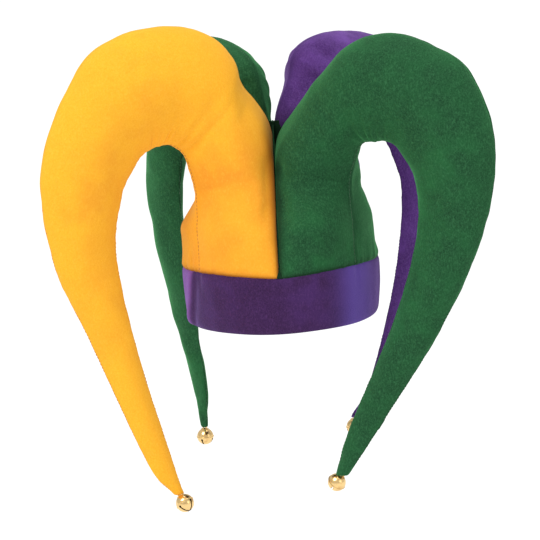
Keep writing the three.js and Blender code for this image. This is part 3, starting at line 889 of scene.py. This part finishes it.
wanted = stitch_tree.nodes.new("NodeGroupInput").outputs
seam_curve = place_step("GeometryNodeMeshToCurve", {"Mesh": wanted["Line"]})
holes = place_step("GeometryNodeResampleCurve", {
    "Curve": seam_curve.outputs["Curve"], "Length": wanted["Pitch"],
}, mode="LENGTH")
facing = place_step("FunctionNodeAlignRotationToVector", {
    "Vector": place_step("GeometryNodeInputTangent").outputs["Tangent"],
}, axis="Y")
slip = place_step("FunctionNodeRandomValue", {
    "Min": (-1, -1, -1), "Max": (1, 1, 1), "Seed": wanted["Seed"],
}, data_type="FLOAT_VECTOR")
slip_size = place_step("ShaderNodeVectorMath", {
    0: slip.outputs["Value"], 3: wanted["Looseness"],
}, operation="SCALE")
loose_holes = place_step("GeometryNodeSetPosition", {
    "Geometry": holes.outputs["Curve"], "Offset": slip_size.outputs["Vector"],
})
stitch = place_step("GeometryNodeMeshUVSphere", {"Segments": 6, "Rings": 4, "Radius": 0.5})
stitch_size = place_step("ShaderNodeCombineXYZ", {
    "X": wanted["Thread Width"], "Y": wanted["Stitch Length"], "Z": wanted["Thread Width"],
})
row_of_stitches = place_step("GeometryNodeInstanceOnPoints", {
    "Points": loose_holes.outputs["Geometry"], "Instance": stitch.outputs["Mesh"],
    "Rotation": facing.outputs["Rotation"], "Scale": stitch_size.outputs["Vector"],
})
solid_stitches = place_step(
    "GeometryNodeRealizeInstances", {"Geometry": row_of_stitches.outputs["Instances"]},
)
smooth_stitches = place_step("GeometryNodeSetShadeSmooth", {"Geometry": solid_stitches.outputs["Geometry"]})
dyed_stitches = place_step("GeometryNodeSetMaterial", {
    "Geometry": smooth_stitches.outputs["Geometry"], "Material": wanted["Thread"],
})
stitch_tree.links.new(
    dyed_stitches.outputs["Geometry"], stitch_tree.nodes.new("NodeGroupOutput").inputs["Stitches"]
)
stitch_inputs = {
    item.name: item.identifier for item in stitch_tree.interface.items_tree if item.in_out == "INPUT"
}


def sew(name, lines, thread, seed, pitch=stitch_pitch, length=stitch_length, width=thread_width,
        looseness=0.00008):
    """Sews a row of stitches along each line of points, as one piece."""
    points = [point for line in lines for point in line]
    edges = []
    start = 0
    for line in lines:
        edges += [(start + i, start + i + 1) for i in range(len(line) - 1)]
        start += len(line)
    line_mesh = bpy.data.meshes.new(name + "_line")
    line_mesh.from_pydata(points, edges, [])
    source = add_object(name + "_line", line_mesh)
    rows = source.modifiers.new("stitches", "NODES")
    rows.node_group = stitch_tree
    rows[stitch_inputs["Pitch"]] = pitch
    rows[stitch_inputs["Stitch Length"]] = length
    rows[stitch_inputs["Thread Width"]] = width
    rows[stitch_inputs["Looseness"]] = looseness
    rows[stitch_inputs["Seed"]] = seed
    rows[stitch_inputs["Thread"]] = thread
    stitches = finished_mesh(source, name)
    bpy.data.objects.remove(source)
    piece = bpy.data.objects.new(name, stitches)
    scene.collection.objects.link(piece)
    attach(piece, "root")
    return piece


bpy.context.view_layer.update()
for number, horn in enumerate(horns):
    piece = horn_pieces[horn["name"]]
    lines = []
    for way in seam_ways[horn["name"]]:
        line = []
        for at, beside, (t, share, _, _, crown) in way:
            if t < 0.004 or t > 0.985 or (share == 1 and crown > 0.02):
                continue
            shown = clamp((corner_stitches_end - t) / 0.05) if share == 0 else 0
            aim = at + (beside - at).normalized() * seam_to_stitches * shown
            found, place, normal, _ = piece.closest_point_on_mesh(aim)
            line.append(place + normal * thread_width * (0.45 * shown - 0.25))
        lines.append(line)
    sew(horn["name"] + "_seam_stitches", lines, threads[horn["felt"]], number)

# The creases. Where two horns meet, their panels are sewn together on the inside, from the band up to
# where the horns part, and the folded-in edge of the felt fills the crease behind the seam. Over the
# head it reaches the hat's axis and closes the notch between the horns, and it is thickest at its foot.
crease_inset = 0.004
crease_width = 0.012
crease_thickness = 0.0012
crease_foot = 0.0050
crease_foot_inset = 0.0012
crease_foot_height = 0.009
crease_top = 0.174
crease_rows = 40
notch_from = 0.136
notch_to = 0.172
notch_reach = 0.006
axis_gap = 0.0001


def crease_mesh(name, way):
    """The felt in one crease, a thin upright strip that leads from the crown's edge towards its middle."""
    size = crown_width / 2 if way.x else crown_length / 2
    beside = Vector((-way.y, way.x, 0)) / 2
    points = []
    for row in range(crease_rows + 1):
        up = blend(band_top, crease_top, row / crease_rows)
        above_foot = smooth_step(up, band_top, band_top + crease_foot_height)
        thickness = blend(crease_foot, crease_thickness, above_foot)
        rising = clamp((up - band_top) / band_height)
        parting = smooth_step(up, parting_from, parting_to)
        inset = blend(crease_foot_inset, crease_inset, above_foot)
        out = size - rising * crease_depth - parting * parting_depth - inset
        out = blend(out, notch_reach, smooth_step(up, notch_from, notch_to))
        inside = out - crease_width
        if up > head_height + 0.002:
            inside = axis_gap if way.x else axis_gap + crease_thickness / 2
        for reach, hand in ((out, 1), (inside, 1), (inside, -1), (out, -1)):
            points.append(way * reach + beside * thickness * hand + Vector((0, 0, up)))
    faces = [(0, 1, 2, 3), tuple(range(len(points) - 1, len(points) - 5, -1))]
    for row in range(crease_rows):
        for i in range(4):
            j = (i + 1) % 4
            faces.append((row * 4 + i, row * 4 + j, row * 4 + 4 + j, row * 4 + 4 + i))
    mesh = bpy.data.meshes.new(name)
    mesh.from_pydata(points, [], faces)
    face_out(mesh)
    # Painted shade: the whole strip is given the dark painted crease shade at full strength.
    mark_points(mesh, "painted_shade", [1.0] * len(points))
    return mesh


for name, way in (("front", (0, -1, 0)), ("back", (0, 1, 0)), ("left", (-1, 0, 0)), ("right", (1, 0, 0))):
    crease = crease_mesh(name + "_crease_felt", Vector(way))
    piece = add_object(name + "_crease_felt", crease, felts["green"])
    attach(piece, "root")

# The headband. A strip of purple felt folded double, with the fold at the rim, closed by an upright seam
# at the back and sewn to the crown along its top, where the felt is drawn in at each seam of the crown.
# Painted light on the nap: a painted highlight makes it paler on the near side of a fold, and a patch of
# painted light makes it bluer and brighter at the wearer's left front.
band_felt = felt("folded purple felt", shade(58, 31, 72), shade(44, 22, 56), shade(86, 52, 106),
                 shade(70, 40, 98), shade(58, 31, 72), 0.45, 0.7, 0.42, shade(170, 140, 226), bump=0.6)
# Where the patch of painted light on the band sits, and how fast it fades before and after.
blue_light_place = math.radians(317)
blue_light_width = 0.20
blue_light_fading = 0.40
fold_middle = math.radians(205)
fold_slant = math.radians(220)
tree = band_felt.node_tree
shader = tree.nodes["Principled BSDF"]
nap_and_light_colour = shader.inputs["Base Color"].links[0].from_socket
# Painted light: the band is mixed towards a paler colour as a highlight at the fold, and towards a bluer one
# where more light falls at the wearer's left front.
for light_name, light_tone in (("fold_highlight", shade(150, 96, 182)), ("blue_light", shade(98, 76, 168))):
    painted_light_mask = place_node(tree, "Attribute", attribute_name=light_name).outputs["Fac"]
    nap_and_light_colour = mixed(tree, spread(tree, painted_light_mask, 0.0, 1.0, 0.0, 0.6), nap_and_light_colour, light_tone)
tree.links.new(nap_and_light_colour, shader.inputs["Base Color"])

band_steps = 240
band_profile = [
    (0.0, 0.0489), (-0.0002, 0.036), (-0.0010, 0.020), (-0.0020, 0.009), (-0.0029, 0.0036), (-0.0029, 0.0012),
    (-0.0022, 0.0002), (-0.0012, 0.0003), (-0.0004, 0.0014), (0.0004, 0.0036), (0.0010, 0.0068),
    (0.0016, 0.0115), (0.0022, 0.018), (0.0026, 0.026), (0.0029, 0.034), (0.0030, 0.040), (0.0029, 0.0448),
    (0.0024, 0.0474), (0.0014, 0.0488),
]


def band_relief(angle, up):
    """How far the band stands out at an angle round it from the wearer's left side, and a height."""
    around = Vector((math.cos(angle), math.sin(angle), 0))
    wave = noise.noise(around * 2.2 + Vector((0, 0, up * 14))) * 0.0010
    ripple = noise.noise(around * 7.0 + Vector((0, 0, up * 60 + 7))) * 0.0005
    past_fold = angle - fold_middle - fold_slant * (up - 0.025)
    fold = math.exp(-((past_fold + 0.06) / 0.080) ** 2) * (0.0014 + 0.0022 * clamp(1 - up / 0.025))
    fold -= math.exp(-((past_fold - 0.070) / 0.060) ** 2) * 0.0016
    pinch = 0
    for seam in (90, 217, 270, 319):
        turn = angle - math.radians(seam)
        near = math.exp(-((up - 0.047) / 0.010) ** 2)
        pinch -= math.exp(-(turn / 0.022) ** 2) * 0.0012 * near
        pinch += math.exp(-((abs(turn) - 0.055) / 0.022) ** 2) * 0.0003 * near
    back_seam = -math.exp(-((angle - math.radians(90)) / 0.010) ** 2) * 0.0010
    return wave + ripple + fold + pinch + back_seam


def fold_highlight(angle, up):
    """How much painted highlight the band gets on the near side of the fold."""
    past_fold = angle - fold_middle - fold_slant * (up - 0.025)
    return smooth_step(-past_fold, -0.02, 0.05) * smooth_step(past_fold, -0.9, -0.5)


def blue_light(angle):
    """How much painted light makes the band bluer and brighter at the wearer's left front."""
    past = angle - blue_light_place
    return math.exp(-(past / (blue_light_width if past < 0 else blue_light_fading)) ** 2)


def band_mesh():
    points, pale, blue = [], [], []
    for i in range(band_steps):
        angle = math.tau * i / band_steps
        droop = noise.noise(Vector((math.cos(angle) * 1.6, math.sin(angle) * 1.6, 3.3))) * 0.0008
        for out, up in band_profile:
            outer = clamp((out + 0.002) / 0.003) * clamp((0.0488 - up) / 0.002)
            stand = band_relief(angle, up) * outer
            reach = out + stand
            lift = max(0.0, up + droop * clamp((0.02 - up) / 0.02) + 0.0004)
            place = Vector((
                (head_width / 2 + reach) * math.cos(angle), (head_length / 2 + reach) * math.sin(angle),
                min(lift, 0.0491),
            ))
            place.z += edge_rise(place) * clamp((up - 0.024) / 0.0245)
            points.append(place)
            pale.append(fold_highlight(angle, up))
            blue.append(blue_light(angle))
    size = len(band_profile)
    faces = []
    for i in range(band_steps):
        j = (i + 1) % band_steps
        for k in range(size):
            m = (k + 1) % size
            faces.append((i * size + k, j * size + k, j * size + m, i * size + m))
    mesh = bpy.data.meshes.new("folded_headband")
    mesh.from_pydata(points, [], faces)
    face_out(mesh)
    mark_points(mesh, "fold_highlight", pale)
    mark_points(mesh, "blue_light", blue)
    return mesh


source = add_object("headband_source", band_mesh(), band_felt)
smooth = source.modifiers.new("smooth", "SUBSURF")
smooth.levels = smooth.render_levels = 1
folded = finished_mesh(source, "folded_headband")
bpy.data.objects.remove(source)
folded.shade_smooth()
headband = bpy.data.objects.new("folded_headband", folded)
scene.collection.objects.link(headband)
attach(headband, "root")
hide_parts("headband")

# The bells. Pressed brass jingle bells in two halves with a rolled joint, crossed slots with round ends
# below, a wire loop on top that thread ties into the tip of the horn, and a loose brass ball inside.
bell_radius = 0.008
bell_wall = 0.0008
slot_width = 0.0012
slot_reach = math.radians(74)
slot_end = 0.0011
collar_radius = 0.0034
collar_height = 0.0073
loop_inside = 0.0024
loop_wire = 0.0013
loop_root = 0.0005
joint_wire = 0.0010
pellet_radius = 0.0023
bell_gap = 0.0003
bell_facets = 12
loop_height = bell_radius + loop_inside / 2 + loop_wire / 2 - loop_root

brass, tree, shader = bare_material("polished brass")
place = place_node(tree, "TexCoord").outputs["Object"]
cloud = place_node(tree, "TexNoise", {"Vector": place, "Scale": 1.0 / 0.006, "Detail": 3.0}).outputs["Fac"]
scuffs = place_node(tree, "TexNoise", {
    "Vector": place, "Scale": 1.0 / 0.0009, "Detail": 4.0, "Distortion": 1.2,
}).outputs["Fac"]
tarnish = spread(tree, cloud, 0.50, 0.72, 0.0, 0.6)
brass_tone = mixed(tree, tarnish, shade(238, 203, 140), shade(196, 148, 84))
tree.links.new(brass_tone, shader.inputs["Base Color"])
tree.links.new(spread(tree, scuffs, 0.35, 0.7, 0.14, 0.34), shader.inputs["Roughness"])
relief = place_node(tree, "Bump", {"Height": scuffs, "Strength": 0.15, "Distance": 0.0001})
tree.links.new(relief.outputs["Normal"], shader.inputs["Normal"])
shader.inputs["Metallic"].default_value = 1.0


# Inside, and at the edges of its slots, the press leaves the brass dull and brown.
dull_brass, tree, shader = bare_material("dull brass")
place = place_node(tree, "TexCoord").outputs["Object"]
stain = place_node(tree, "TexNoise", {"Vector": place, "Scale": 1.0 / 0.002, "Detail": 3.0}).outputs["Fac"]
tree.links.new(mixed(tree, stain, shade(46, 28, 14), shade(84, 54, 26)), shader.inputs["Base Color"])
tree.links.new(spread(tree, stain, 0.3, 0.7, 0.6, 0.9), shader.inputs["Roughness"])
shader.inputs["Metallic"].default_value = 0.5


def ball_mesh(radius, sides):
    work = bmesh.new()
    bmesh.ops.create_uvsphere(work, u_segments=sides, v_segments=sides // 2, radius=radius)
    mesh = bpy.data.meshes.new("ball")
    work.to_mesh(mesh)
    work.free()
    return mesh


def wire_ring(work, radius, wire, place, sides, wire_sides):
    """Adds a closed ring of round wire to a mesh being made, placed and turned by a matrix."""
    rings = []
    for i in range(sides):
        turn = math.tau * i / sides
        ring = []
        for k in range(wire_sides):
            lean = math.tau * k / wire_sides
            out = radius + wire * math.cos(lean)
            point = Vector((out * math.cos(turn), out * math.sin(turn), wire * math.sin(lean)))
            ring.append(work.verts.new(place @ point))
        rings.append(ring)
    for i in range(sides):
        for k in range(wire_sides):
            m = (k + 1) % wire_sides
            work.faces.new((rings[i][k], rings[(i + 1) % sides][k], rings[(i + 1) % sides][m], rings[i][m]))


def plain_mesh(name, work):
    """Ends the making of a mesh."""
    mesh = bpy.data.meshes.new(name)
    work.to_mesh(mesh)
    work.free()
    return mesh


def slot_cutters():
    """What the press takes out below: two crossed slots, and a round hole at the end of each arm."""
    half = bell_radius * math.sin(slot_reach)
    depth = bell_radius * (1 - math.cos(slot_reach))
    cutters = []
    for wide, long in ((2 * half, slot_width), (slot_width, 2 * half)):
        work = bmesh.new()
        bmesh.ops.create_cube(work, size=1)
        bmesh.ops.scale(work, verts=work.verts, vec=(wide, long, 2 * depth))
        bmesh.ops.translate(work, verts=work.verts, vec=(0, 0, -bell_radius))
        cutters.append(add_object("slot", plain_mesh("slot", work)))
    for i in range(4):
        work = bmesh.new()
        bmesh.ops.create_cone(work, cap_ends=True, segments=20, radius1=slot_end, radius2=slot_end,
                              depth=4 * bell_wall)
        lean = Matrix.Rotation(math.tau * i / 4, 4, "Z") @ Matrix.Rotation(math.pi - slot_reach, 4, "Y")
        out = Matrix.Translation((0, 0, bell_radius - bell_wall / 2))
        bmesh.ops.transform(work, verts=work.verts, matrix=lean @ out)
        cutters.append(add_object("slot_end", plain_mesh("slot_end", work)))
    return cutters


def bell_mesh():
    """One bell about its own centre, with its loop up."""
    shell = add_object("shell", ball_mesh(bell_radius, 48), brass)
    cutters = [add_object("shell_room", ball_mesh(bell_radius - bell_wall, 48))] + slot_cutters()
    for cutter in cutters:
        cut = shell.modifiers.new("cut", "BOOLEAN")
        cut.object = cutter
        cut.operation = "DIFFERENCE"
        cut.solver = "MANIFOLD"
    cut_shell = finished_mesh(shell, "shell")
    for scrap in [shell, *cutters]:
        bpy.data.objects.remove(scrap)
    work = bmesh.new()
    work.from_mesh(cut_shell)
    wire_ring(work, bell_radius, joint_wire / 2, Matrix.Identity(4), 48, 8)
    upright_loop = Matrix.Translation((0, 0, loop_height)) @ Matrix.Rotation(math.pi / 2, 4, "X")
    wire_ring(work, (loop_inside + loop_wire) / 2, loop_wire / 2, upright_loop, 24, 10)
    wire_ring(work, collar_radius, 0.0005, Matrix.Translation((0, 0, collar_height)), 24, 8)
    mesh = plain_mesh("bell", work)
    mesh.materials.clear()
    mesh.materials.append(brass)
    mesh.materials.append(dull_brass)
    for face in mesh.polygons:
        face.material_index = 1 if face.center.length < bell_radius - bell_wall / 3 else 0
    mesh.shade_smooth()
    mesh.set_sharp_from_angle(angle=math.radians(40))
    return mesh


def bell_turn(horn):
    """Where the bell of a horn hangs: its loop in the end of the tip, leaning by its tilt."""
    plane = SeamPlane(horn)
    side, face = horn["side"], horn["face"]
    tilt = math.radians(horn["tilt"])
    spread_way = Vector((plane.along.x * side, plane.along.y * face, 0))
    lean = math.radians(horn["lean"])
    axis = Vector((
        side * math.sin(lean), -face * math.sin(tilt) * math.cos(lean), math.cos(tilt) * math.cos(lean),
    ))
    wide = (spread_way - axis * spread_way.dot(axis)).normalized()
    turn = Matrix((wide, axis.cross(wide), axis)).transposed().to_4x4()
    plan = plane.along * plane.tip_out + plane.across * plane.offset
    tip = Vector((plan.x * side, plan.y * face, -plane.drop))
    return Matrix.Translation(tip - axis * loop_height) @ turn, tip, axis


one_bell = bell_mesh()
for horn in horns:
    turn, tip, axis = bell_turn(horn)
    shell = one_bell.copy()
    shell.transform(turn @ Matrix.Rotation(math.radians(horn["spin"]), 4, "Z"))
    bell = add_object(horn["name"] + "_jingle_bell", shell)
    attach(bell, "root")
    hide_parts(horn["name"] + "_bell")

    room = bell_radius - bell_wall - pellet_radius - bell_gap
    centre = turn.translation + Vector((0, 0, -room * math.cos(math.pi / bell_facets)))
    pellet_mesh = ball_mesh(pellet_radius, 20)
    pellet_mesh.transform(Matrix.Translation(centre))
    pellet_mesh.shade_smooth()
    pellet = add_object(horn["name"] + "_ringing_ball", pellet_mesh, brass)
    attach(pellet, "root")
    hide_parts(horn["name"] + "_bell_pellet")

# The threads that tie each bell on: a few turns through its loop, sunk in the end of the tip.
tie_turns = 4
for horn in horns:
    turn, tip, axis = bell_turn(horn)
    work = bmesh.new()
    for i in range(tie_turns):
        lean = Matrix.Rotation(math.radians(90 + 14 * (i - 1.5)), 4, "X")
        lean @= Matrix.Rotation(math.radians(9 * i), 4, "Z")
        slide = Matrix.Translation((0.0003 * (i - 1.5), 0, loop_height + 0.0018))
        around_wire = slide @ Matrix.Rotation(math.pi / 2, 4, "Z") @ lean
        wire_ring(work, 0.0020, 0.00022, turn @ around_wire, 20, 6)
    bmesh.ops.recalc_face_normals(work, faces=work.faces)
    tie_mesh = bpy.data.meshes.new(horn["name"] + "_bell_thread")
    work.to_mesh(tie_mesh)
    work.free()
    tie_mesh.shade_smooth()
    tie = add_object(horn["name"] + "_bell_thread", tie_mesh, threads[horn["felt"]])
    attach(tie, "root")
